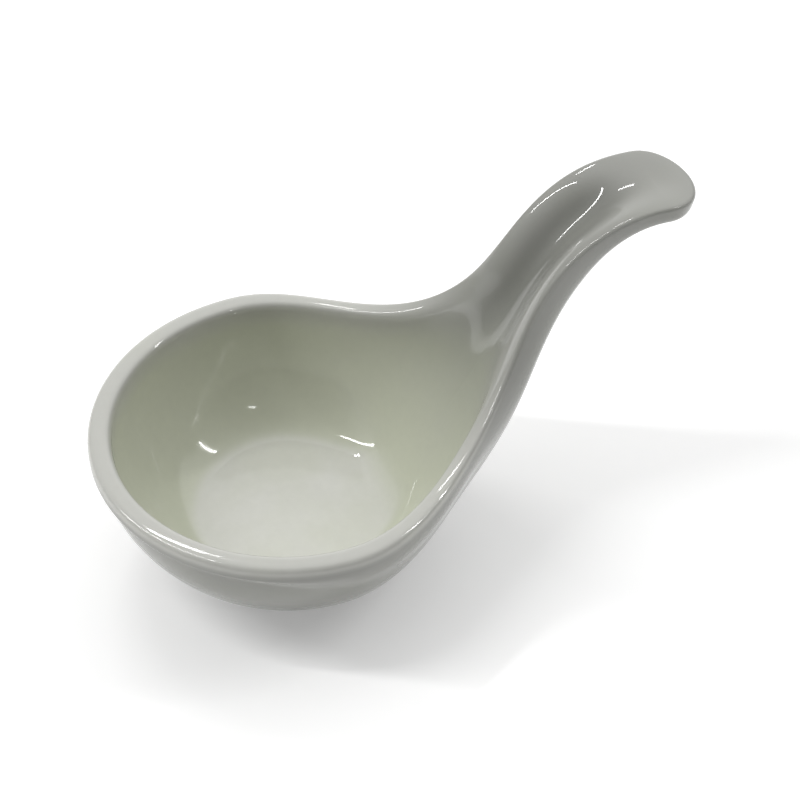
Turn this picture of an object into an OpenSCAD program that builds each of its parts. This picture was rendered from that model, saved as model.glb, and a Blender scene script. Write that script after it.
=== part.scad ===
// Porcelain soup spoon: a deep round bowl whose rim runs back into a short handle that rises and
// curls over at its tip. The bowl and the handle are one piece of clay, glazed all over but for a
// bare foot ring. Millimetres, +Z up, +X towards the handle, origin at the centre of the foot.

/* [Bowl] */
// Half of the bowl's width at its widest
bowl_half = 31; // [27:0.5:36]
// Reach of the bowl in front of its middle
nose_len = 31.4; // [27:0.2:38]
// Height of the rim above the table
rim_z = 24.8; // [21:0.2:30]
// Thickness of the rolled rim
rim_t = 3.7; // [3:0.1:4.5]
// Depth of the rim's rounding
rim_r = 2; // [1.4:0.1:2.6]
// How far the wall sits in under the rim
tuck_in = 1; // [0:0.1:1.4]
// Depth below the rim at which the wall is fully set in, round the front, where a groove shows
tuck_z = 3.8; // [3.2:0.1:6]
// The same at the sides and behind, where the wall sits in gently
tuck_side_z = 10; // [6:0.5:14]
// Distance in front of the bowl's middle at which the groove is full
groove_from = 20; // [14:0.5:26]
// Distance behind the bowl's middle at which the groove has faded
groove_to = 10; // [4:0.5:20]
// Half of the flat floor's width
floor_half = 15; // [11:0.5:17]
// Thickness of the floor over the foot, glaze included
floor_t = 4; // [3:0.1:5]
// Distance behind the bowl's middle at which the flat floor has narrowed to nothing
floor_tail = 23; // [20:0.5:26]
// Distance at which the floor starts to climb into the handle
floor_from = 12; // [10:0.5:14]
// Distance at which the floor has become the handle's trough
floor_to = 41; // [38:0.5:44]

/* [Handle] */
// Distance along the rim line, from the bowl's middle, at which the rim starts to rise
rise_from = 6.5; // [3:0.5:12]
// Distance at which the rise is complete
rise_to = 44; // [40:0.5:50]
// Slope that the rise comes to, in degrees
rise_deg = 60; // [45:1:66]
// Distance at which the handle starts to curl over
curl_from = 39; // [34:0.5:46]
// Distance at which the curl is complete
curl_to = 85; // [76:0.5:94]
// Slope of the tip below the level, in degrees
curl_deg = 15; // [0:1:30]
// Distance at which the underside has climbed to the handle
keel_to = 46.5; // [44:0.5:50]
// Distance at which the handle is narrowest
neck_s = 60; // [54:0.5:66]
// Half of the handle's width there
neck_half = 7.8; // [6:0.1:10]
// Distance to the middle of the rounded tip
tip_s = 72; // [68:0.5:80]
// Half of the tip's width
tip_half = 7.7; // [6:0.1:10]
// Reach of the rounded tip beyond its middle
tip_len = 6.7; // [5:0.1:9]
// Distance at which the bowl's walls have become the sides of the handle's trough
flank_to = 37; // [33:0.5:42]
// Thickness of the ridge that the rim becomes along the trough
ridge_t = 1.6; // [1.4:0.1:2.4]
// Depth of the ridge's rounding
ridge_r = 1; // [0.8:0.1:1.4]
// Depth of the trough along the handle
trough_d = 3; // [2.2:0.1:3.8]
// Distance at which the trough starts to run out
fade_from = 56; // [50:0.5:62]
// Distance at which the trough has run out
fade_to = 75; // [70:0.5:82]
// Thickness of the handle under the trough
handle_t = 4.4; // [3.6:0.1:5]
// Distance at which the handle starts to thin towards the tip
thin_from = 46; // [42:0.5:52]
// Distance at which the handle is as thin as the tip
thin_to = 74; // [70:0.5:80]
// Depth of the trough where it runs out at the tip
tip_d = 0.4; // [0.2:0.1:1]
// Thickness of the tip under the trough
tip_t = 3.5; // [2.6:0.1:4.5]

/* [Foot] */
// Outer radius of the foot ring
foot_r = 14.5; // [12:0.5:17]
// Width of the foot ring
foot_w = 2.6; // [2:0.1:4]
// Height of the foot ring
foot_h = 1.2; // [0.8:0.1:2]
// Bevel on the edges of the foot ring
foot_bevel = 0.4; // [0.2:0.1:0.6]
// Flat margin of the base beside the foot ring
base_lip = 1.5; // [1.2:0.1:2.5]
// Flat margin of the base behind the foot ring, towards the handle
tail_lip = 3.9; // [2.5:0.1:5]

/* [Glaze] */
// Thickness of the glaze
glaze_t = 0.3; // [0.2:0.05:0.4]
// Bare strip between the glaze and the foot ring
glaze_gap = 0.4; // [0.2:0.1:0.6]

/* [Hidden] */

// Roundness of the section's curves: 1 is an ellipse, less is squarer, more is straighter
wall_round_share = 1.2;
keel_round_share = 1.05;
handle_round_share = 0.72;
tip_round_share = 0.5;
rim_round_share = 0.62;
ridge_round_share = 0.9;
// How sharply the bowl draws in towards the neck
taper_share = 4.9;
// How early the floor and the underside climb into the handle: 1 is an even climb, more is earlier
ramp_share = 1.5;
// Largest share of a half section that the rim takes
rim_most_share = 0.8;
// Depth of the edge's rounding at the tip, as a share of the tip's thickness
tip_roll_share = 0.2;
// Depth of the rim's inner rounding, at most this share of the hollow's depth
hollow_roll_share = 0.5;
// How much closer together the outer wall's steps lie under the rim than further down
step_share = 1.6;
// How much closer together the handle's stations lie beside the bowl than further along
run_share = 1.25;

// Stations round half of the outline: front of the bowl, over the base, handle, tip
fan_n = 11;
foot_n = 7;
run_n = 17;
tip_n = 6;
// Steps in half a section: inner wall, rim (an even number), outer wall
inner_n = 9;
roll_n = 8;
outer_n = 9;
// Steps in the rim line
line_n = 120;
$fn = 96;

base_half = foot_r + base_lip;
base_tail = foot_r + tail_lip;
base_z = foot_h - glaze_t;
glaze_end_r = foot_r + glaze_gap;
well_r = foot_r - foot_w - glaze_gap;
line_step = (tip_s + tip_len) / line_n;

// A smooth step from 0 to 1, and those that lead from the bowl to the handle and on to the tip
function ease(t) = let (u = min(max(t, 0), 1)) u * u * u * (10 - 15 * u + 6 * u * u);
function in_handle(m) = ease((m - base_tail) / (rise_to - base_tail));
function in_trough(m) = ease((m - base_tail) / (flank_to - base_tail));
function in_tip(m) = ease((m - thin_from) / (thin_to - thin_from));

// A smooth step that climbs early and ends gently
function ramp(m, from, to) =
    ease(1 - pow(1 - min(max((m - from) / (to - from), 0), 1), ramp_share));

// The rim line in side view: it rises out of the bowl, then curls over
function climb(s, from) = rise_deg * ease((s - from) / (rise_to - from));
function curl(s) = (rise_deg + curl_deg) * ease((s - curl_from) / (curl_to - curl_from));
function slope(s) = climb(s, rise_from) - curl(s);
function step_slope(i) = (slope(i * line_step) + slope((i + 1) * line_step)) / 2;
line_x = [
    for (i = 0, x = 0; i <= line_n; x = x + line_step * cos(step_slope(i)), i = i + 1) [i * line_step, x]
];
line_z = [
    for (i = 0, z = 0; i <= line_n; z = z + line_step * sin(step_slope(i)), i = i + 1) [i * line_step, z]
];
function along(s) = s < 0 ? s : lookup(s, line_x);
function height(s) = rim_z + (s < 0 ? 0 : lookup(s, line_z));

// A point at distance s along the rim line, y to the side and d below it. Sections stand upright
// over the base, so that it stays level, and lean with the handle beyond it.
function place(s, y, d) =
    let (lean = climb(s, base_tail) - curl(s))
    [along(s) + d * sin(lean), y, height(s) - d * cos(lean)];

// Half width of the outline behind the bowl's middle
function half_width(s) =
    let (u = min(s / neck_s, 1))
    neck_half + (bowl_half - neck_half) * pow(1 - u * u, taper_share)
    + (tip_half - neck_half) * ease((s - neck_s) / (tip_s - neck_s));

// Half of the outline, from the nose to the tip: where a section starts on the middle line, and
// the rim point that it runs to
stations = concat(
    [for (k = [0:fan_n - 1]) let (a = 90 * k / fan_n) [0, -nose_len * cos(a), bowl_half * sin(a)]],
    [for (k = [0:foot_n - 1]) let (s = base_tail * sin(90 * k / foot_n)) [s, s, half_width(s)]],
    [for (k = [0:run_n - 1])
        let (s = lead(base_tail, tip_s, pow(k / run_n, run_share)))
        [s, s, half_width(s)]],
    [for (k = [0:tip_n]) let (a = 90 * k / tip_n) [tip_s, tip_s + tip_len * sin(a), tip_half * cos(a)]]
);
function reach(st) = norm([st[1] - st[0], st[2]]);

// The belly's round underside would dip this far below the level base, which cuts it off
belly_half = bowl_half - tuck_in;
base_fill_share = pow(1 - pow(base_half / belly_half, 2 / keel_round_share), keel_round_share / 2);
keel_dip = (rim_z - base_z - rim_r) * (1 / base_fill_share - 1);

// Depths below the rim line, on the middle line: of the base's level, of the underside, of the inside
function level_depth(m) = height(m) - base_z;
function lead(from, to, share) = from + (to - from) * share;
function keel_depth(m) =
    let (
        belly = level_depth(m) + keel_dip * (1 - pow(m / base_tail, 2)),
        handle = lead(trough_d + handle_t, tip_d + tip_t, in_tip(m))
    )
    lead(belly, handle, ramp(m, base_tail, keel_to));
function hollow_depth(m) =
    let (trough = lead(trough_d, tip_d, ease((m - fade_from) / (fade_to - fade_from))))
    lead(level_depth(m) - floor_t, trough, ramp(m, floor_from, floor_to));

// Sine and cosine of a quarter turn whose roundness is set by a share
function quarter(a, share) = [pow(sin(a), share), sign(cos(a)) * pow(abs(cos(a)), share)];

// One half section as [distance out, depth]: up the inside, over the rim, down the outer wall. The
// bowl's inside is a flat floor and a deep wall under a rolled rim, the handle's is a soft trough.
function section(st) =
    let (
        m = st[0],
        w = reach(st),
        keel = keel_depth(m),
        hollow = hollow_depth(m),
        rim = min(lead(rim_t, ridge_t, in_trough(m)), rim_most_share * w),
        ridge = lead(rim_r, ridge_r, in_trough(m)),
        roll = lead(ridge, min(ridge_r, tip_roll_share * tip_t), in_tip(m)),
        in_roll = min(roll, hollow_roll_share * hollow),
        tuck = tuck_in * (1 - in_handle(m)),
        tuck_end = lead(tuck_side_z, tuck_z, ease((groove_to - st[1]) / (groove_to + groove_from))),
        crest = lead(rim_round_share, ridge_round_share, in_handle(m)),
        outer = lead(lead(keel_round_share, handle_round_share, in_handle(m)), tip_round_share, in_tip(m)),
        stop = m < base_tail ? asin(pow((level_depth(m) - roll) / (keel - roll), 1 / outer)) : 90,
        flat_share = pow(max(1 - pow(m / floor_tail, 2), 0), 2),
        flat = floor_half * flat_share,
        wall = lead(1, wall_round_share, flat_share),
        crest_n = inner_n + roll_n / 2,
        inside = [for (k = [1:inner_n - 1])
            let (t = quarter(90 * (2 * k - 1) / (2 * inner_n - 1), wall))
            [lead(flat, w - rim, t[0]), lead(in_roll, hollow, t[1])]],
        over = [for (k = [0:roll_n])
            let (t = quarter(180 * k / roll_n, crest))
            [w - rim / 2 * (1 + t[1]), (t[1] > 0 ? in_roll : roll) * (1 - t[0])]],
        bowl = concat([[0, hollow]], inside, over),
        down = [for (k = [1:outer_n])
            let (t = quarter(stop * pow(k / outer_n, step_share), outer), d = lead(roll, keel, t[0]))
            [t[1] * (w - tuck * ease((d - roll) / (tuck_end - roll))), d]]
    )
    concat(
        [for (k = [0:len(bowl) - 1])
            let (t = k / crest_n,
                 trough = [(w - rim / 2) * t, hollow * (1 + cos(180 * t)) / 2])
            k < crest_n ? lead(bowl[k], trough, in_trough(m)) : bowl[k]],
        down
    );

// The same section set in by the glaze's thickness
function set_in(sec) =
    let (last = len(sec) - 1)
    [for (j = [0:last])
        j == 0 ? sec[j] + [0, glaze_t] :
        j == last ? [sec[j][0] * (1 - glaze_t / base_half), sec[j][1] - glaze_t] :
        let (t = sec[j + 1] - sec[j - 1]) sec[j] + glaze_t * [-t[1], t[0]] / norm(t)];

// A section's point in space, on the +Y or the -Y side
function spread(h, side, p) =
    let (st = stations[h], share = p[0] / reach(st))
    place(st[0] + (st[1] - st[0]) * share, side * st[2] * share, p[1]);

// A skin is a ring of sections from the nose round by the tip and back. Its points are the
// sections' own, then the inner middle line, then the base's edge and the underside's middle line.
half_n = len(stations);
ring_n = 2 * (half_n - 1);
sec_n = inner_n + roll_n + 1 + outer_n;
row_n = sec_n - 2;
tip_h = half_n - 1 - tip_n;
mid_n = tip_h - fan_n + 1;
base_n = fan_n + foot_n;
edge_n = 2 * base_n - 1;
skin_n = ring_n * row_n + mid_n + edge_n + tip_h - base_n + 1;
function half_at(i) = i < half_n ? i : ring_n - i;
function side_at(i) = i < half_n ? 1 : -1;

function skin_points(secs) = concat(
    [for (i = [0:ring_n - 1], j = [1:row_n]) spread(half_at(i), side_at(i), secs[half_at(i)][j])],
    [for (h = [fan_n:tip_h]) spread(h, 1, secs[h][0])],
    [for (h = [0:base_n - 1]) spread(h, 1, secs[h][sec_n - 1])],
    [for (h = [1:base_n - 1]) spread(h, -1, secs[h][sec_n - 1])],
    [for (h = [base_n:tip_h]) spread(h, 1, secs[h][sec_n - 1])]
);
function mid_id(i) = ring_n * row_n + min(max(half_at(i) - fan_n, 0), mid_n - 1);
function low_id(i) =
    let (h = half_at(i))
    ring_n * row_n + mid_n + (
        h >= base_n ? edge_n + min(h, tip_h) - base_n :
        side_at(i) > 0 ? h : base_n - 1 + h);
function point_id(i, j) =
    let (k = i % ring_n)
    j == 0 ? mid_id(k) : j > row_n ? low_id(k) : k * row_n + j - 1;

// Two triangles for a patch with corners a, b, c, d, or one where two corners are the same
function patch(a, b, c, d) = concat(a == b ? [] : [[a, c, b]], c == d ? [] : [[a, d, c]]);
function skin_faces() = [
    for (i = [0:ring_n - 1], j = [0:row_n])
        each patch(point_id(i, j), point_id(i + 1, j), point_id(i + 1, j + 1), point_id(i, j + 1))
];
function flipped(faces, first) = [for (f = faces) [first + f[0], first + f[2], first + f[1]]];
function strip(a, b) = [
    for (k = [0:len(a) - 1]) let (n = (k + 1) % len(a)) each patch(a[k], a[n], b[n], b[k])
];

// The base's edge, in the skin's order round the foot
base_ring = concat(
    [for (h = [0:base_n]) low_id(h)],
    [for (h = [base_n - 1:-1:1]) low_id(ring_n - h)]
);
glaze_secs = [for (st = stations) section(st)];
clay_secs = [for (sec = glaze_secs) set_in(sec)];
outside = skin_points(glaze_secs);
clay = skin_points(clay_secs);

// Where the glaze stops on the base: a circle just outside the foot ring
function glaze_end(z) = [for (v = base_ring) let (p = outside[v], r = norm([p[0], p[1]]))
    [p[0] * glaze_end_r / r, p[1] * glaze_end_r / r, z]];

// The fired clay: bowl and handle in one piece, with a flat base for the foot
module porcelain_body() {
    color("gainsboro")
        polyhedron(clay, concat(skin_faces(), [[for (k = [len(base_ring) - 1:-1:0]) base_ring[k]]]));
}

// Bare ring of the same clay that the spoon stands on
module foot_ring() {
    inner_r = foot_r - foot_w;
    color("antiquewhite")
        rotate_extrude()
            polygon([
                [inner_r, foot_h], [inner_r, foot_bevel], [inner_r + foot_bevel, 0],
                [foot_r - foot_bevel, 0], [foot_r, foot_bevel], [foot_r, foot_h]
            ]);
}

// The glaze: a thin coat over the clay, inside and out, that ends beside the foot ring
module glaze_coat() {
    ring = len(base_ring);
    end_low = [for (k = [0:ring - 1]) 2 * skin_n + k];
    end_high = [for (k = [0:ring - 1]) 2 * skin_n + ring + k];
    clay_edge = [for (v = base_ring) skin_n + v];
    color("whitesmoke")
        polyhedron(
            concat(outside, clay, glaze_end(base_z), glaze_end(foot_h)),
            concat(
                skin_faces(), flipped(skin_faces(), skin_n),
                strip(base_ring, end_low), strip(end_low, end_high), strip(end_high, clay_edge)
            )
        );
}

// The patch of glaze on the base inside the foot ring
module well_glaze() {
    color("whitesmoke")
        translate([0, 0, base_z])
            cylinder(h = glaze_t, r = well_r);
}

porcelain_body();
foot_ring();
glaze_coat();
well_glaze();
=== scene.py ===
"""Looks of a glazed porcelain soup spoon: the glaze's smooth skin, the finishes, the studio and the camera.

The skin is drawn with the same sections as the solid under it, in finer steps. Sizes of the form are in
millimetres, as the solid's are, and everything else is in metres. Names that end in _S, _FROM, _TO or _TAIL
are distances along the rim line from the middle of the bowl, unless a comment says otherwise.
"""
import math

import bmesh
import bpy
import numpy as np
from mathutils import Matrix, Vector, noise


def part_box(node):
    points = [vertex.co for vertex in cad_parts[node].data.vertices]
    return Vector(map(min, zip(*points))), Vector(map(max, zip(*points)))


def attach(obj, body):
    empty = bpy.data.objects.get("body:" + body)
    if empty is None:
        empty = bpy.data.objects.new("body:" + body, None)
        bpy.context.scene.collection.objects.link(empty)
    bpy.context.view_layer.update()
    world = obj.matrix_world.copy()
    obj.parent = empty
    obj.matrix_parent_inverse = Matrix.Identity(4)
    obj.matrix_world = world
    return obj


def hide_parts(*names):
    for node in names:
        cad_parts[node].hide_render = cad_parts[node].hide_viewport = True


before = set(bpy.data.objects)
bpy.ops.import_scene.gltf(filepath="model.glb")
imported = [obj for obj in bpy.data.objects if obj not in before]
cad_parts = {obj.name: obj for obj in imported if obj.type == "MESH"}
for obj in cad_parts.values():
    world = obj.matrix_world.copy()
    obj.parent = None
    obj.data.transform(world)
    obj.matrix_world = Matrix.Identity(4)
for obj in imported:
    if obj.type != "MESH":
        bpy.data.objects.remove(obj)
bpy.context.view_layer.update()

MM = 0.001

# Sizes of the form that the frame gives
glaze_low, glaze_high = (np.array(corner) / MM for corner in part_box("glaze_coat"))
foot_high = np.array(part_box("foot_ring")[1]) / MM
BOWL_HALF = glaze_high[1]
NOSE_LEN = -glaze_low[0]
BASE_Z = glaze_low[2]
FOOT_R = foot_high[0]
FOOT_H = foot_high[2]

# Rim of the bowl: height, thickness and roll
RIM_Z = 24.8
RIM_T = 3.7
RIM_R = 2.0
# The wall tucks in under the rim, down to a depth that is small in front and larger at the sides. The front's
# depth holds from GROOVE_FROM in front of the middle, and the sides' from GROOVE_TO behind it.
TUCK_IN = 1.0
TUCK_Z = 3.8
TUCK_SIDE_Z = 10.0
GROOVE_FROM = 20.0
GROOVE_TO = 10.0
# Floor and base of the bowl
FLOOR_HALF = 15.0
FLOOR_T = 4.0
FLOOR_TAIL = 23.0
FLOOR_FROM = 12.0
FLOOR_TO = 41.0
BASE_HALF = FOOT_R + 1.5
BASE_TAIL = FOOT_R + 3.9
# Where the glaze ends beside the foot ring, and how far above that ring a cap closes the skin inside the clay
GLAZE_END_R = FOOT_R + 0.4
CAP_UP = 0.1

# Handle
RISE_FROM = 6.5
RISE_TO = 44.0
RISE_DEG = 60.0
CURL_FROM = 39.0
CURL_TO = 85.0
CURL_DEG = 15.0
KEEL_TO = 46.5
NECK_S = 60.0
NECK_HALF = 7.8
TIP_S = 72.0
TIP_HALF = 7.7
TIP_LEN = 6.7
FLANK_TO = 37.0
RIDGE_T = 1.6
RIDGE_R = 1.0
TROUGH_D = 3.0
FADE_FROM = 56.0
FADE_TO = 75.0
HANDLE_T = 4.4
THIN_FROM = 46.0
THIN_TO = 74.0
TIP_D = 0.4
TIP_T = 3.5

# Roundness of the section's curves: 1 is an ellipse, and less is squarer
WALL_ROUND = 1.2
KEEL_ROUND = 1.05
HANDLE_ROUND = 0.72
TIP_ROUND = 0.5
RIM_ROUND = 0.62
RIDGE_ROUND = 0.9
# Powers of the outline's taper towards the neck, and of the floor's and keel's early climb into the handle
TAPER = 4.9
RAMP = 1.5
# Most of the half width that the rim takes, and most of the tip's thickness and the hollow's depth that its
# roll takes
RIM_MOST = 0.8
TIP_ROLL = 0.2
HOLLOW_ROLL = 0.5
# How far along the trough's arc the flat floor and the wall reach, where the bowl turns into the handle
FLAT_LEAD = 0.5 / 13
WALL_LEAD = 9 / 13

# Steps of the skin: stations round half of the outline, rows in half a section, and points on the rim line
FAN_N, FOOT_N, RUN_N, TIP_N = 48, 30, 96, 22
FLAT_N, WALL_N, ROLL_N, DOWN_N = 8, 36, 14, 44
LINE_N = 4000
# Power that brings the outer wall's rows closer together under the rim
DOWN_STEP = 1.5
# Points closer than this are one point, and edges with a larger angle stay sharp
WELD_GAP = 0.002
SHARP_DEG = 35.0
# The glaze's waves: depth, length, a shift that keeps them inwards, and heights between which they fade in
WAVE_DEPTH = 0.05
WAVE_LEN = 14.0
WAVE_IN = 1.2
WAVE_FROM = 2.0
WAVE_TO = 16.0

# Glaze pools below this depth, less on the outside
POOL_D = 6.0
OUTER_POOL = 0.4
# A painted reflection of the overhead light makes the flat floor paler, up to this share of the wall and this
# distance towards the handle
REFLECTION_WALL = 0.19
REFLECTION_FROM = 12.0
REFLECTION_TO = 19.0
# Painted shade makes it greyer on the handle, more so at this depth in the trough
SHADE_FROM = 12.0
SHADE_TO = 46.0
SHADE_D = 2.5
HANDLE_PAINTED_SHADE = 0.57
TROUGH_PAINTED_SHADE = 0.88
# Painted shade makes it greyer on the outside, which starts this far down the rim's roll, and greyest at this
# depth
SHADE_ROLL = 0.3
SHADE_DEEP = 22.0
OUTER_PAINTED_SHADE = 0.66
BASE_PAINTED_SHADE = 1.0


def ease(t):
    """A smooth step from 0 to 1."""
    u = np.clip(t, 0, 1)
    return u ** 3 * (10 - 15 * u + 6 * u * u)


def lead(start, end, share):
    """The value at a share of the way from start to end."""
    return start + (end - start) * share


def ramp(m, start, end):
    """A smooth step from 0 to 1 that climbs early and ends gently."""
    return ease(1 - (1 - np.clip((m - start) / (end - start), 0, 1)) ** RAMP)


def in_handle(m):
    """How far a section has turned from bowl to handle."""
    return ease((m - BASE_TAIL) / (RISE_TO - BASE_TAIL))


def in_trough(m):
    """How far the inside has turned from bowl to trough."""
    return ease((m - BASE_TAIL) / (FLANK_TO - BASE_TAIL))


def in_tip(m):
    """How far the handle has thinned to its tip."""
    return ease((m - THIN_FROM) / (THIN_TO - THIN_FROM))


def climb(s, start):
    """The rise's slope in degrees."""
    return RISE_DEG * ease((s - start) / (RISE_TO - start))


def curl(s):
    """How far the curl has turned the slope down again, in degrees."""
    return (RISE_DEG + CURL_DEG) * ease((s - CURL_FROM) / (CURL_TO - CURL_FROM))


# The rim line in side view
line_s = np.linspace(0, TIP_S + TIP_LEN, LINE_N)
line_turn = np.radians(climb(line_s, RISE_FROM) - curl(line_s))
line_turn = (line_turn[1:] + line_turn[:-1]) / 2
line_step = line_s[1]
line_x = np.concatenate([[0], np.cumsum(np.cos(line_turn) * line_step)])
line_z = np.concatenate([[0], np.cumsum(np.sin(line_turn) * line_step)])


def along(s):
    """The rim line's x."""
    return np.where(s < 0, s, np.interp(s, line_s, line_x))


def height(s):
    """The rim line's z."""
    return RIM_Z + np.where(s < 0, 0, np.interp(s, line_s, line_z))


def place(s, y, d):
    """Points at distance s along the rim line, y to the side and d below it."""
    lean = np.radians(climb(s, BASE_TAIL) - curl(s))
    return np.stack([along(s) + d * np.sin(lean), y + 0 * s, height(s) - d * np.cos(lean)], -1)


def half_width(s):
    """Half of the outline's width."""
    u = np.minimum(s / NECK_S, 1)
    bowl = (BOWL_HALF - NECK_HALF) * (1 - u * u) ** TAPER
    return NECK_HALF + bowl + (TIP_HALF - NECK_HALF) * ease((s - NECK_S) / (TIP_S - NECK_S))


# How far the belly's curve would run on below the base if the base didn't cut it level
keel_power = 2 / KEEL_ROUND
base_fill = (1 - (BASE_HALF / (BOWL_HALF - TUCK_IN)) ** keel_power) ** (1 / keel_power)
keel_dip = (RIM_Z - BASE_Z - RIM_R) * (1 / base_fill - 1)


def level_depth(m):
    """The base's depth below the rim line."""
    return float(height(m)) - BASE_Z


def keel_depth(m):
    """The outside's depth below the rim line, on the middle line."""
    belly = level_depth(m) + keel_dip * (1 - (m / BASE_TAIL) ** 2)
    handle = lead(TROUGH_D + HANDLE_T, TIP_D + TIP_T, in_tip(m))
    return lead(belly, handle, ramp(m, BASE_TAIL, KEEL_TO))


def hollow_depth(m):
    """The inside's depth below the rim line, on the middle line."""
    trough = lead(TROUGH_D, TIP_D, ease((m - FADE_FROM) / (FADE_TO - FADE_FROM)))
    return lead(level_depth(m) - FLOOR_T, trough, ramp(m, FLOOR_FROM, FLOOR_TO))


def stations():
    """Half of the outline from nose to tip: a section's start on the middle line, and its rim point."""
    fan = np.linspace(0, np.pi / 2, FAN_N, endpoint=False)
    over = BASE_TAIL * np.sin(np.linspace(0, np.pi / 2, FOOT_N, endpoint=False))
    run = np.concatenate([over, np.linspace(BASE_TAIL, TIP_S, RUN_N, endpoint=False)])
    tip = np.linspace(0, np.pi / 2, TIP_N + 1)
    start = np.concatenate([np.zeros(FAN_N), run, np.full(TIP_N + 1, TIP_S)])
    rim_s = np.concatenate([-NOSE_LEN * np.cos(fan), run, TIP_S + TIP_LEN * np.sin(tip)])
    rim_y = np.concatenate([BOWL_HALF * np.sin(fan), half_width(run), TIP_HALF * np.cos(tip)])
    return np.stack([start, rim_s, rim_y], -1)


def inner_half(m, w, rim, roll, crest):
    """The inside of a half section, from the middle up to the rim's crest: distance out and depth."""
    hollow = hollow_depth(m)
    in_roll = min(roll, HOLLOW_ROLL * hollow)
    flat_share = max(1 - (m / FLOOR_TAIL) ** 2, 0) ** 2
    flat = FLOOR_HALF * flat_share
    wall = lead(1, WALL_ROUND, flat_share)
    f = np.arange(FLAT_N) / FLAT_N
    a = np.linspace(0, np.pi / 2, WALL_N, endpoint=False)
    b = np.linspace(0, np.pi / 2, ROLL_N + 1)
    cos_b = np.clip(np.cos(b), 0, 1)
    bowl = np.stack([
        np.concatenate([flat * f, flat + (w - rim - flat) * np.sin(a) ** wall,
                        w - rim / 2 * (1 + cos_b ** crest)]),
        np.concatenate([0 * f + hollow, in_roll + (hollow - in_roll) * np.cos(a) ** wall,
                        in_roll * (1 - np.sin(b) ** crest)]),
    ])
    quarter = 2 / np.pi
    t = np.concatenate([FLAT_LEAD * f, FLAT_LEAD + (WALL_LEAD - FLAT_LEAD) * a * quarter,
                        WALL_LEAD + (1 - WALL_LEAD) * b * quarter])
    trough = np.stack([(w - rim / 2) * t, hollow * (1 + np.cos(np.pi * t)) / 2])
    return bowl + (trough - bowl) * in_trough(m)


def rim_half(w, rim, roll, crest):
    """The rim's outer half, from its crest down: distance out and depth."""
    c = np.linspace(np.pi / 2, np.pi, ROLL_N + 1)[1:]
    return np.stack([w - rim / 2 * (1 - np.abs(np.cos(c)) ** crest),
                     roll * (1 - np.clip(np.sin(c), 0, 1) ** crest)])


def outer_half(m, rim_s, w, roll):
    """The outside of a half section, from under the rim to the base or the keel: distance out and depth."""
    hand = in_handle(m)
    keel = keel_depth(m)
    outer = lead(lead(KEEL_ROUND, HANDLE_ROUND, hand), TIP_ROUND, in_tip(m))
    tuck = TUCK_IN * (1 - hand)
    tuck_end = lead(TUCK_SIDE_Z, TUCK_Z, ease((GROOVE_TO - rim_s) / (GROOVE_TO + GROOVE_FROM)))
    stop = np.pi / 2
    if m < BASE_TAIL:
        stop = math.asin(((level_depth(m) - roll) / (keel - roll)) ** (1 / outer))
    a = stop * np.linspace(0, 1, DOWN_N + 1)[1:] ** DOWN_STEP
    d = lead(roll, keel, np.sin(a) ** outer)
    tucked = w - tuck * ease((d - roll) / (tuck_end - roll))
    return np.stack([np.clip(np.cos(a), 0, 1) ** outer * tucked, d])


def section_tones(m, roll, inside, over, down):
    """Shares of pooled glaze, painted reflection and painted shade at a half section's points, from their
    depths.
    """
    pool = np.concatenate([ease(inside[1] / POOL_D), 0 * over[1],
                           OUTER_POOL * ease((down[1] - roll) / POOL_D)])
    # Painted reflection of the overhead light: paler on the flat floor and the foot of the wall
    up_wall = np.ones(len(pool))
    up_wall[:FLAT_N] = 0
    up_wall[FLAT_N:FLAT_N + WALL_N] = np.linspace(0, 1, WALL_N, endpoint=False)
    painted_reflection = (1 - ease(up_wall / REFLECTION_WALL)) * (1 - ease((m - REFLECTION_FROM) / (REFLECTION_TO - REFLECTION_FROM)))
    # Painted shade: greyer on the handle, more so in its trough, and down the outside to the base
    on_handle = ease((m - SHADE_FROM) / (SHADE_TO - SHADE_FROM))
    painted_shade_in = on_handle * lead(HANDLE_PAINTED_SHADE, TROUGH_PAINTED_SHADE, ease(inside[1] / SHADE_D))
    depth_out = np.concatenate([over[1], down[1]])
    outside = ease((depth_out / roll - SHADE_ROLL) / (1 - SHADE_ROLL))
    outer_painted_shade = lead(OUTER_PAINTED_SHADE, BASE_PAINTED_SHADE, ease(depth_out / SHADE_DEEP))
    painted_shade = np.concatenate([painted_shade_in, lead(HANDLE_PAINTED_SHADE * on_handle, outer_painted_shade, outside)])
    return pool, painted_reflection, painted_shade


def section(m, rim_s, w):
    """One half section, up the inside, over the rim and down the outside, and its tones."""
    rim = min(lead(RIM_T, RIDGE_T, in_trough(m)), RIM_MOST * w)
    roll = lead(lead(RIM_R, RIDGE_R, in_trough(m)), min(RIDGE_R, TIP_ROLL * TIP_T), in_tip(m))
    crest = lead(RIM_ROUND, RIDGE_ROUND, in_handle(m))
    inside = inner_half(m, w, rim, roll, crest)
    over = rim_half(w, rim, roll, crest)
    down = outer_half(m, rim_s, w, roll)
    return np.concatenate([inside, over, down], 1), section_tones(m, roll, inside, over, down)


def skin_rows():
    """The points of all sections round the outline, and their tones."""
    rows, tones = [], []
    for m, rim_s, rim_y in stations():
        w = math.hypot(rim_s - m, rim_y)
        (q, d), tone = section(m, rim_s, w)
        rows.append(place(m + (rim_s - m) * q / w, rim_y * q / w, d))
        tones.append(tone)
    half, tones = np.array(rows), np.array(tones)
    mirrored = half[-2:0:-1] * [1, -1, 1]
    return np.concatenate([half, mirrored]), np.concatenate([tones, tones[-2:0:-1]])


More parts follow.
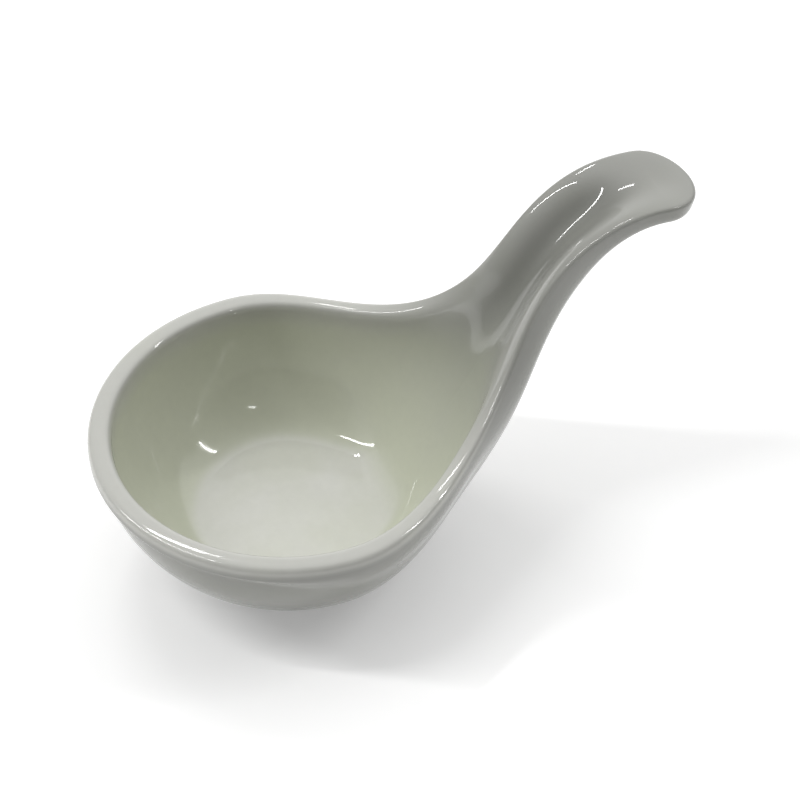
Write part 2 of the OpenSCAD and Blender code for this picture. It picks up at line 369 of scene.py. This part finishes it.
def skin_mesh():
    """The glaze's outer skin as one closed mesh. Attributes say where it pools, where a painted reflection
    makes it paler and where painted shade makes it greyer.
    """
    ring, tones = skin_rows()
    ring_n, row_n = ring.shape[:2]

    # The flat margin under the bowl, from the base's edge to the bare strip round the foot, and a cap that
    # closes the skin inside the clay
    base_n = FAN_N + FOOT_N
    loop = [k % ring_n for k in range(-base_n, base_n + 1)]
    edge = ring[loop, -1]
    out = edge[:, :2] / np.linalg.norm(edge[:, :2], axis=1, keepdims=True) * GLAZE_END_R
    low = np.column_stack([out, np.full(len(out), BASE_Z)])
    high = np.column_stack([out, np.full(len(out), FOOT_H + CAP_UP)])

    # The solid's facets cut the curl a little lower than these finer steps, so the handle comes down to
    # the solid's top
    too_high = ring[..., 2].max() - glaze_high[2]
    ring[..., 2] -= too_high * ease((ring[..., 2] - RIM_Z) / (glaze_high[2] - RIM_Z))
    verts = np.concatenate([ring.reshape(-1, 3), low, high]) * MM
    faces = []
    for i in range(ring_n):
        here, after = i * row_n, (i + 1) % ring_n * row_n
        faces += [(here + j, after + j, after + j + 1, here + j + 1) for j in range(row_n - 1)]
    first_low = ring_n * row_n
    first_high = first_low + len(loop)
    for n in range(len(loop) - 1):
        edge_a, edge_b = (k * row_n + row_n - 1 for k in loop[n:n + 2])
        faces.append((edge_a, edge_b, first_low + n + 1, first_low + n))
        faces.append((first_low + n, first_low + n + 1, first_high + n + 1, first_high + n))
    faces.append([first_high + n for n in range(len(loop) - 1)])

    mesh = bpy.data.meshes.new("glaze_skin")
    mesh.from_pydata(verts.tolist(), [], faces)
    # Pooling, the painted reflection and the painted shade, each with its value on the margin and cap under
    # the bowl
    for k, (name, under) in enumerate((("pool", OUTER_POOL), ("painted_reflection", 0), ("painted_shade", BASE_PAINTED_SHADE))):
        values = np.append(tones[:, k].ravel(), np.full(2 * len(loop), under))
        layer = mesh.attributes.new(name, "FLOAT", "POINT")
        layer.data.foreach_set("value", values.astype(np.float32))
    return mesh


def weld(mesh):
    """Joins the points that meet on the middle lines, and turns all faces outwards."""
    work = bmesh.new()
    work.from_mesh(mesh)
    bmesh.ops.remove_doubles(work, verts=work.verts, dist=WELD_GAP * MM)
    bmesh.ops.recalc_face_normals(work, faces=work.faces)
    work.to_mesh(mesh)
    work.free()
    mesh.shade_smooth()
    mesh.set_sharp_from_angle(angle=math.radians(SHARP_DEG))


def uneven(mesh, depth, wave):
    """Gives the skin the slight waves of a dipped glaze, which fade out towards the foot."""
    co = np.empty(3 * len(mesh.vertices))
    normal = np.empty_like(co)
    mesh.vertices.foreach_get("co", co)
    mesh.vertices.foreach_get("normal", normal)
    co, normal = co.reshape(-1, 3), normal.reshape(-1, 3)
    waves = np.array([noise.noise(Vector(v) / wave) for v in co])
    deep = depth * (WAVE_IN - waves) / 2 * ease((co[:, 2] / MM - WAVE_FROM) / (WAVE_TO - WAVE_FROM))
    mesh.vertices.foreach_set("co", (co - normal * deep[:, None]).ravel())
    mesh.update()


# Colours of the finishes
GLAZE_RIM = (0.56, 0.562, 0.525)
GLAZE_POOLED = (0.58, 0.60, 0.49)
# Painted reflection of the overhead light on the flat floor
GLAZE_PAINTED_REFLECTION = (0.67, 0.672, 0.63)
# Painted shade on the handle, its trough and the outside
GLAZE_PAINTED_SHADE = (0.19, 0.192, 0.176)
GLAZE_MOTTLE = (0.3, 0.31, 0.27)
SPECK = (0.16, 0.13, 0.09)
CLAY = (0.62, 0.57, 0.49)
CLAY_DARK = (0.50, 0.45, 0.37)
WHITE = (1, 1, 1, 1)

# Noise in the finishes, each with its waves per metre and its detail
CLOUD = (90, 2)
MOTTLE = (700, 3)
SHEEN = (160, 2)
RIPPLE = (260, 1)
GRAIN = (2600, 4)
STAIN = (220, 3)
# Ranges of a noise's value over which a tone fades in: most of it, its middle, for stains, and at its peaks
NOISE_MOST = (0.3, 0.7)
NOISE_MIDDLE = (0.35, 0.65)
NOISE_STAIN = (0.35, 0.7)
NOISE_PEAKS = (0.55, 0.75)
# How far the clouds shift the pooling, what they leave of the painted reflection on the floor, and the most
# of each other tone
CLOUD_SHIFT = 0.12
REFLECTION_LEAST = 0.7
MOTTLE_SHARE = 0.05
STAIN_SHARE = 0.6
GRAIN_SHARE = 0.35
# Specks: cells per metre, a speck's full and faded radius in cells, and the cell values where one fades in
SPECK_CELLS = 110
SPECK_R = (0.018, 0.034)
SPECK_RARE = (0.62, 0.64)
# Gloss, and the strength and height of the bump
GLAZE_IOR = 1.52
GLAZE_ROUGH = (0.04, 0.09)
CLAY_ROUGH = (0.7, 0.9)
GLAZE_BUMP = (0.02, 0.2 * MM)
CLAY_BUMP = (0.35, 0.1 * MM)
# Places of a Mix node's colour sockets, which share their names with its other sockets
MIX_SHARE, MIX_A, MIX_B, MIX_OUT = 0, 6, 7, 2


def new_material(name):
    """A material with a Principled shader, and its nodes, links and shader."""
    material = bpy.data.materials.new(name)
    material.use_nodes = True
    nodes, links = material.node_tree.nodes, material.node_tree.links
    return material, nodes, links, nodes["Principled BSDF"]


def feed(links, socket, value):
    """Gives a socket another node's output, a number or a colour."""
    if hasattr(value, "is_output"):
        links.new(value, socket)
    elif isinstance(value, (int, float)):
        socket.default_value = value
    else:
        socket.default_value = (*value, 1)


def attribute(nodes, name):
    """A value that the mesh holds at each point."""
    made = nodes.new("ShaderNodeAttribute")
    made.attribute_name = name
    return made.outputs["Fac"]


def textured(nodes, links, kind, scale):
    """A texture node over the object's own coordinates, scale in waves or cells per metre."""
    where = nodes.new("ShaderNodeTexCoord")
    made = nodes.new(kind)
    made.inputs["Scale"].default_value = scale
    links.new(where.outputs["Object"], made.inputs["Vector"])
    return made


def noisy(nodes, links, scale, detail):
    """A noise's value."""
    made = textured(nodes, links, "ShaderNodeTexNoise", scale)
    made.inputs["Detail"].default_value = detail
    return made.outputs["Fac"]


def ranged(nodes, links, source, low, high, to_low, to_high):
    """A value from low to high, mapped to another range and held there."""
    made = nodes.new("ShaderNodeMapRange")
    made.inputs["From Min"].default_value = low
    made.inputs["From Max"].default_value = high
    made.inputs["To Min"].default_value = to_low
    made.inputs["To Max"].default_value = to_high
    links.new(source, made.inputs["Value"])
    return made.outputs["Result"]


def maths(nodes, links, operation, *values):
    """The result of a Math node. Each value is a number or another node's output."""
    made = nodes.new("ShaderNodeMath")
    made.operation = operation
    for socket, value in zip(made.inputs, values):
        feed(links, socket, value)
    return made.outputs[0]


def mixed(nodes, links, share, a, b):
    """Colour a or b by a share. Each is a colour or another node's output."""
    made = nodes.new("ShaderNodeMix")
    made.data_type = "RGBA"
    for socket, value in ((MIX_SHARE, share), (MIX_A, a), (MIX_B, b)):
        feed(links, made.inputs[socket], value)
    return made.outputs[MIX_OUT]


def bumped(nodes, links, shader, source, strength, distance):
    """Gives a shader a bump from a value."""
    bump = nodes.new("ShaderNodeBump")
    bump.inputs["Strength"].default_value = strength
    bump.inputs["Distance"].default_value = distance
    links.new(source, bump.inputs["Height"])
    links.new(bump.outputs["Normal"], shader.inputs["Normal"])


def specks(nodes, links):
    """Where the glaze has a small dark speck: at the middle of a few cells."""
    cells = textured(nodes, links, "ShaderNodeTexVoronoi", SPECK_CELLS)
    dot = ranged(nodes, links, cells.outputs["Distance"], *SPECK_R, 1, 0)
    rare = ranged(nodes, links, cells.outputs["Color"], *SPECK_RARE, 0, 1)
    return maths(nodes, links, "MULTIPLY", dot, rare)


def glaze_material():
    """Off-white gloss glaze: greener where it pools, paler on the floor from a painted reflection, greyer on
    the handle and outside from painted shade, a few specks.
    """
    material, nodes, links, shader = new_material("glaze")
    pool, painted_reflection, painted_shade = (attribute(nodes, name) for name in ("pool", "painted_reflection", "painted_shade"))
    cloud = noisy(nodes, links, *CLOUD)
    shift = ranged(nodes, links, cloud, *NOISE_MOST, -CLOUD_SHIFT, CLOUD_SHIFT)
    pooled = maths(nodes, links, "ADD", pool, shift)
    colour = mixed(nodes, links, pooled, GLAZE_RIM, GLAZE_POOLED)
    # The clouds break up the painted reflection on the floor
    reflection_patches = ranged(nodes, links, cloud, *NOISE_MIDDLE, 1, REFLECTION_LEAST)
    colour = mixed(nodes, links, maths(nodes, links, "MULTIPLY", painted_reflection, reflection_patches), colour, GLAZE_PAINTED_REFLECTION)
    # Painted shade on the handle, its trough and the outside
    colour = mixed(nodes, links, painted_shade, colour, GLAZE_PAINTED_SHADE)
    mottle = ranged(nodes, links, noisy(nodes, links, *MOTTLE), *NOISE_MOST, 0, MOTTLE_SHARE)
    colour = mixed(nodes, links, mottle, colour, GLAZE_MOTTLE)
    colour = mixed(nodes, links, specks(nodes, links), colour, SPECK)
    links.new(colour, shader.inputs["Base Color"])

    rough = ranged(nodes, links, noisy(nodes, links, *SHEEN), *NOISE_MOST, *GLAZE_ROUGH)
    links.new(rough, shader.inputs["Roughness"])
    shader.inputs["IOR"].default_value = GLAZE_IOR
    bumped(nodes, links, shader, noisy(nodes, links, *RIPPLE), *GLAZE_BUMP)
    return material


def clay_material():
    """Bare fired clay: matt, warm and slightly grainy."""
    material, nodes, links, shader = new_material("bare_clay")
    grain = noisy(nodes, links, *GRAIN)
    stain = ranged(nodes, links, noisy(nodes, links, *STAIN), *NOISE_STAIN, 0, STAIN_SHARE)
    colour = mixed(nodes, links, stain, CLAY, CLAY_DARK)
    grains = ranged(nodes, links, grain, *NOISE_PEAKS, 0, GRAIN_SHARE)
    links.new(mixed(nodes, links, grains, colour, CLAY_DARK), shader.inputs["Base Color"])
    links.new(ranged(nodes, links, grain, *NOISE_MOST, *CLAY_ROUGH), shader.inputs["Roughness"])
    bumped(nodes, links, shader, grain, *CLAY_BUMP)
    return material


def wear(obj, material):
    """One material all over an object."""
    obj.data.materials.clear()
    obj.data.materials.append(material)


glaze = glaze_material()
clay = clay_material()

skin = skin_mesh()
weld(skin)
uneven(skin, depth=WAVE_DEPTH * MM, wave=WAVE_LEN * MM)
spoon = bpy.data.objects.new("glazed_skin", skin)
bpy.context.scene.collection.objects.link(spoon)
wear(spoon, glaze)
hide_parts("glaze_coat")
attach(spoon, "root")
wear(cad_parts["well_glaze"], glaze)
wear(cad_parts["foot_ring"], clay)
wear(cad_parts["porcelain_body"], clay)

# Floor: its width, colour and finish, and a faint glow that keeps the shadow light
FLOOR_SIZE = 40.0
FLOOR_PALE = (0.95, 0.95, 0.95, 1)
FLOOR_ROUGH = 0.7
FLOOR_GLOSS = 0.2
FLOOR_GLOW = 0.26
# Surround: its dim radiance, and how tight its bright patches are
SKY_DIM = 0.04
SKY_SPREAD = 8
# Lamps: the point they face, their distance from it and their radiance
TARGET = Vector((0.01, 0, 0.02))
LAMP_FAR = 1.2
LAMP_RADIANCE = 34


def pale_floor():
    """The plain floor that the spoon stands on."""
    material, _, _, shader = new_material("floor")
    shader.inputs["Base Color"].default_value = FLOOR_PALE
    shader.inputs["Roughness"].default_value = FLOOR_ROUGH
    shader.inputs["Specular IOR Level"].default_value = FLOOR_GLOSS
    shader.inputs["Emission Color"].default_value = WHITE
    shader.inputs["Emission Strength"].default_value = FLOOR_GLOW
    bpy.ops.mesh.primitive_plane_add(size=FLOOR_SIZE)
    floor = bpy.context.object
    floor.name = "floor"
    wear(floor, material)


def stood(at, right, up, back):
    """The place and turn of an object at a point, from the directions of its own axes."""
    return Matrix.Translation(at) @ Matrix((right, up, back)).transposed().to_4x4()


def lamp(name, first, last, width):
    """A flat lamp that faces the spoon. It runs between two directions, with a given width."""
    a, b = (TARGET + Vector(v).normalized() * LAMP_FAR for v in (first, last))
    middle = (a + b) / 2
    data = bpy.data.lights.new(name, "AREA")
    data.shape = "RECTANGLE"
    data.size = (b - a).length
    data.size_y = width
    data.energy = LAMP_RADIANCE * math.pi * data.size * data.size_y
    back = (middle - TARGET).normalized()
    side = (b - a).normalized()
    up = back.cross(side).normalized()
    obj = bpy.data.objects.new(name, data)
    obj.matrix_world = stood(middle, up.cross(back), up, back)
    obj.visible_camera = False
    bpy.context.scene.collection.objects.link(obj)


def soft_sky(patches):
    """A dim surround with soft bright patches: each patch is a direction and its radiance."""
    world = bpy.data.worlds.new("studio")
    world.use_nodes = True
    nodes, links = world.node_tree.nodes, world.node_tree.links
    where = nodes.new("ShaderNodeTexCoord")
    total = SKY_DIM
    for direction, radiance in patches:
        facing = nodes.new("ShaderNodeVectorMath")
        facing.operation = "DOT_PRODUCT"
        facing.inputs[1].default_value = Vector(direction).normalized()
        links.new(where.outputs["Generated"], facing.inputs[0])
        front = maths(nodes, links, "MAXIMUM", facing.outputs["Value"], 0)
        patch = maths(nodes, links, "POWER", front, SKY_SPREAD)
        total = maths(nodes, links, "MULTIPLY_ADD", patch, radiance, total)
    links.new(total, nodes["Background"].inputs["Strength"])
    nodes["Background"].inputs["Color"].default_value = WHITE
    bpy.context.scene.world = world


def studio():
    """Floor, soft light, and four lamps that give the highlights."""
    pale_floor()
    soft_sky([
        ((0.1, 0.25, 0.96), 0.95),
        ((-0.72, 0.32, 0.6), 0.75),
        ((0.75, 0.2, 0.62), 1.1),
        ((0.35, 0.9, 0.25), 1.2),
    ])
    lamp("ceiling", (-0.2, 0.48, 0.85), (0.1, 0.61, 0.79), 0.04)
    lamp("left", (-0.33, 0.02, 0.94), (-0.8, 0.36, 0.46), 0.05)
    lamp("right", (0.54, -0.02, 0.84), (0.76, -0.28, 0.58), 0.03)
    lamp("front", (0.24, -0.71, 0.66), (0.14, -0.7, 0.7), 0.015)


# Camera, as the photograph was taken: direction and distance from an aim point, and a lens in pixels. The
# sensor's width is in millimetres, and the nearest and furthest that it sees are in metres.
IMAGE_W = 800
CAM_AZ, CAM_EL, CAM_ROLL = (math.radians(v) for v in (-20.78, 44.57, 0.26))
CAM_DIST = 331.43 * MM
CAM_AIM = Vector((18.12, 0, 22.85)) * MM
LENS_PX = 2104.59
SENSOR_W = 36
CAM_NEAR, CAM_FAR = 0.01, 20


def camera():
    """The camera at the photograph's angle."""
    data = bpy.data.cameras.new("camera")
    data.sensor_width = SENSOR_W
    data.lens = LENS_PX / IMAGE_W * data.sensor_width
    data.clip_start, data.clip_end = CAM_NEAR, CAM_FAR
    back = Vector((math.sin(CAM_AZ) * math.cos(CAM_EL), -math.cos(CAM_AZ) * math.cos(CAM_EL),
                   math.sin(CAM_EL)))
    level = Vector((math.cos(CAM_AZ), math.sin(CAM_AZ), 0))
    rise = back.cross(level)
    right = level * math.cos(CAM_ROLL) + rise * math.sin(CAM_ROLL)
    up = back.cross(right)
    obj = bpy.data.objects.new("camera", data)
    obj.matrix_world = stood(CAM_AIM + back * CAM_DIST, right, up, back)
    bpy.context.scene.collection.objects.link(obj)
    bpy.context.scene.camera = obj


studio()
camera()
bpy.context.scene.view_settings.view_transform = "Standard"
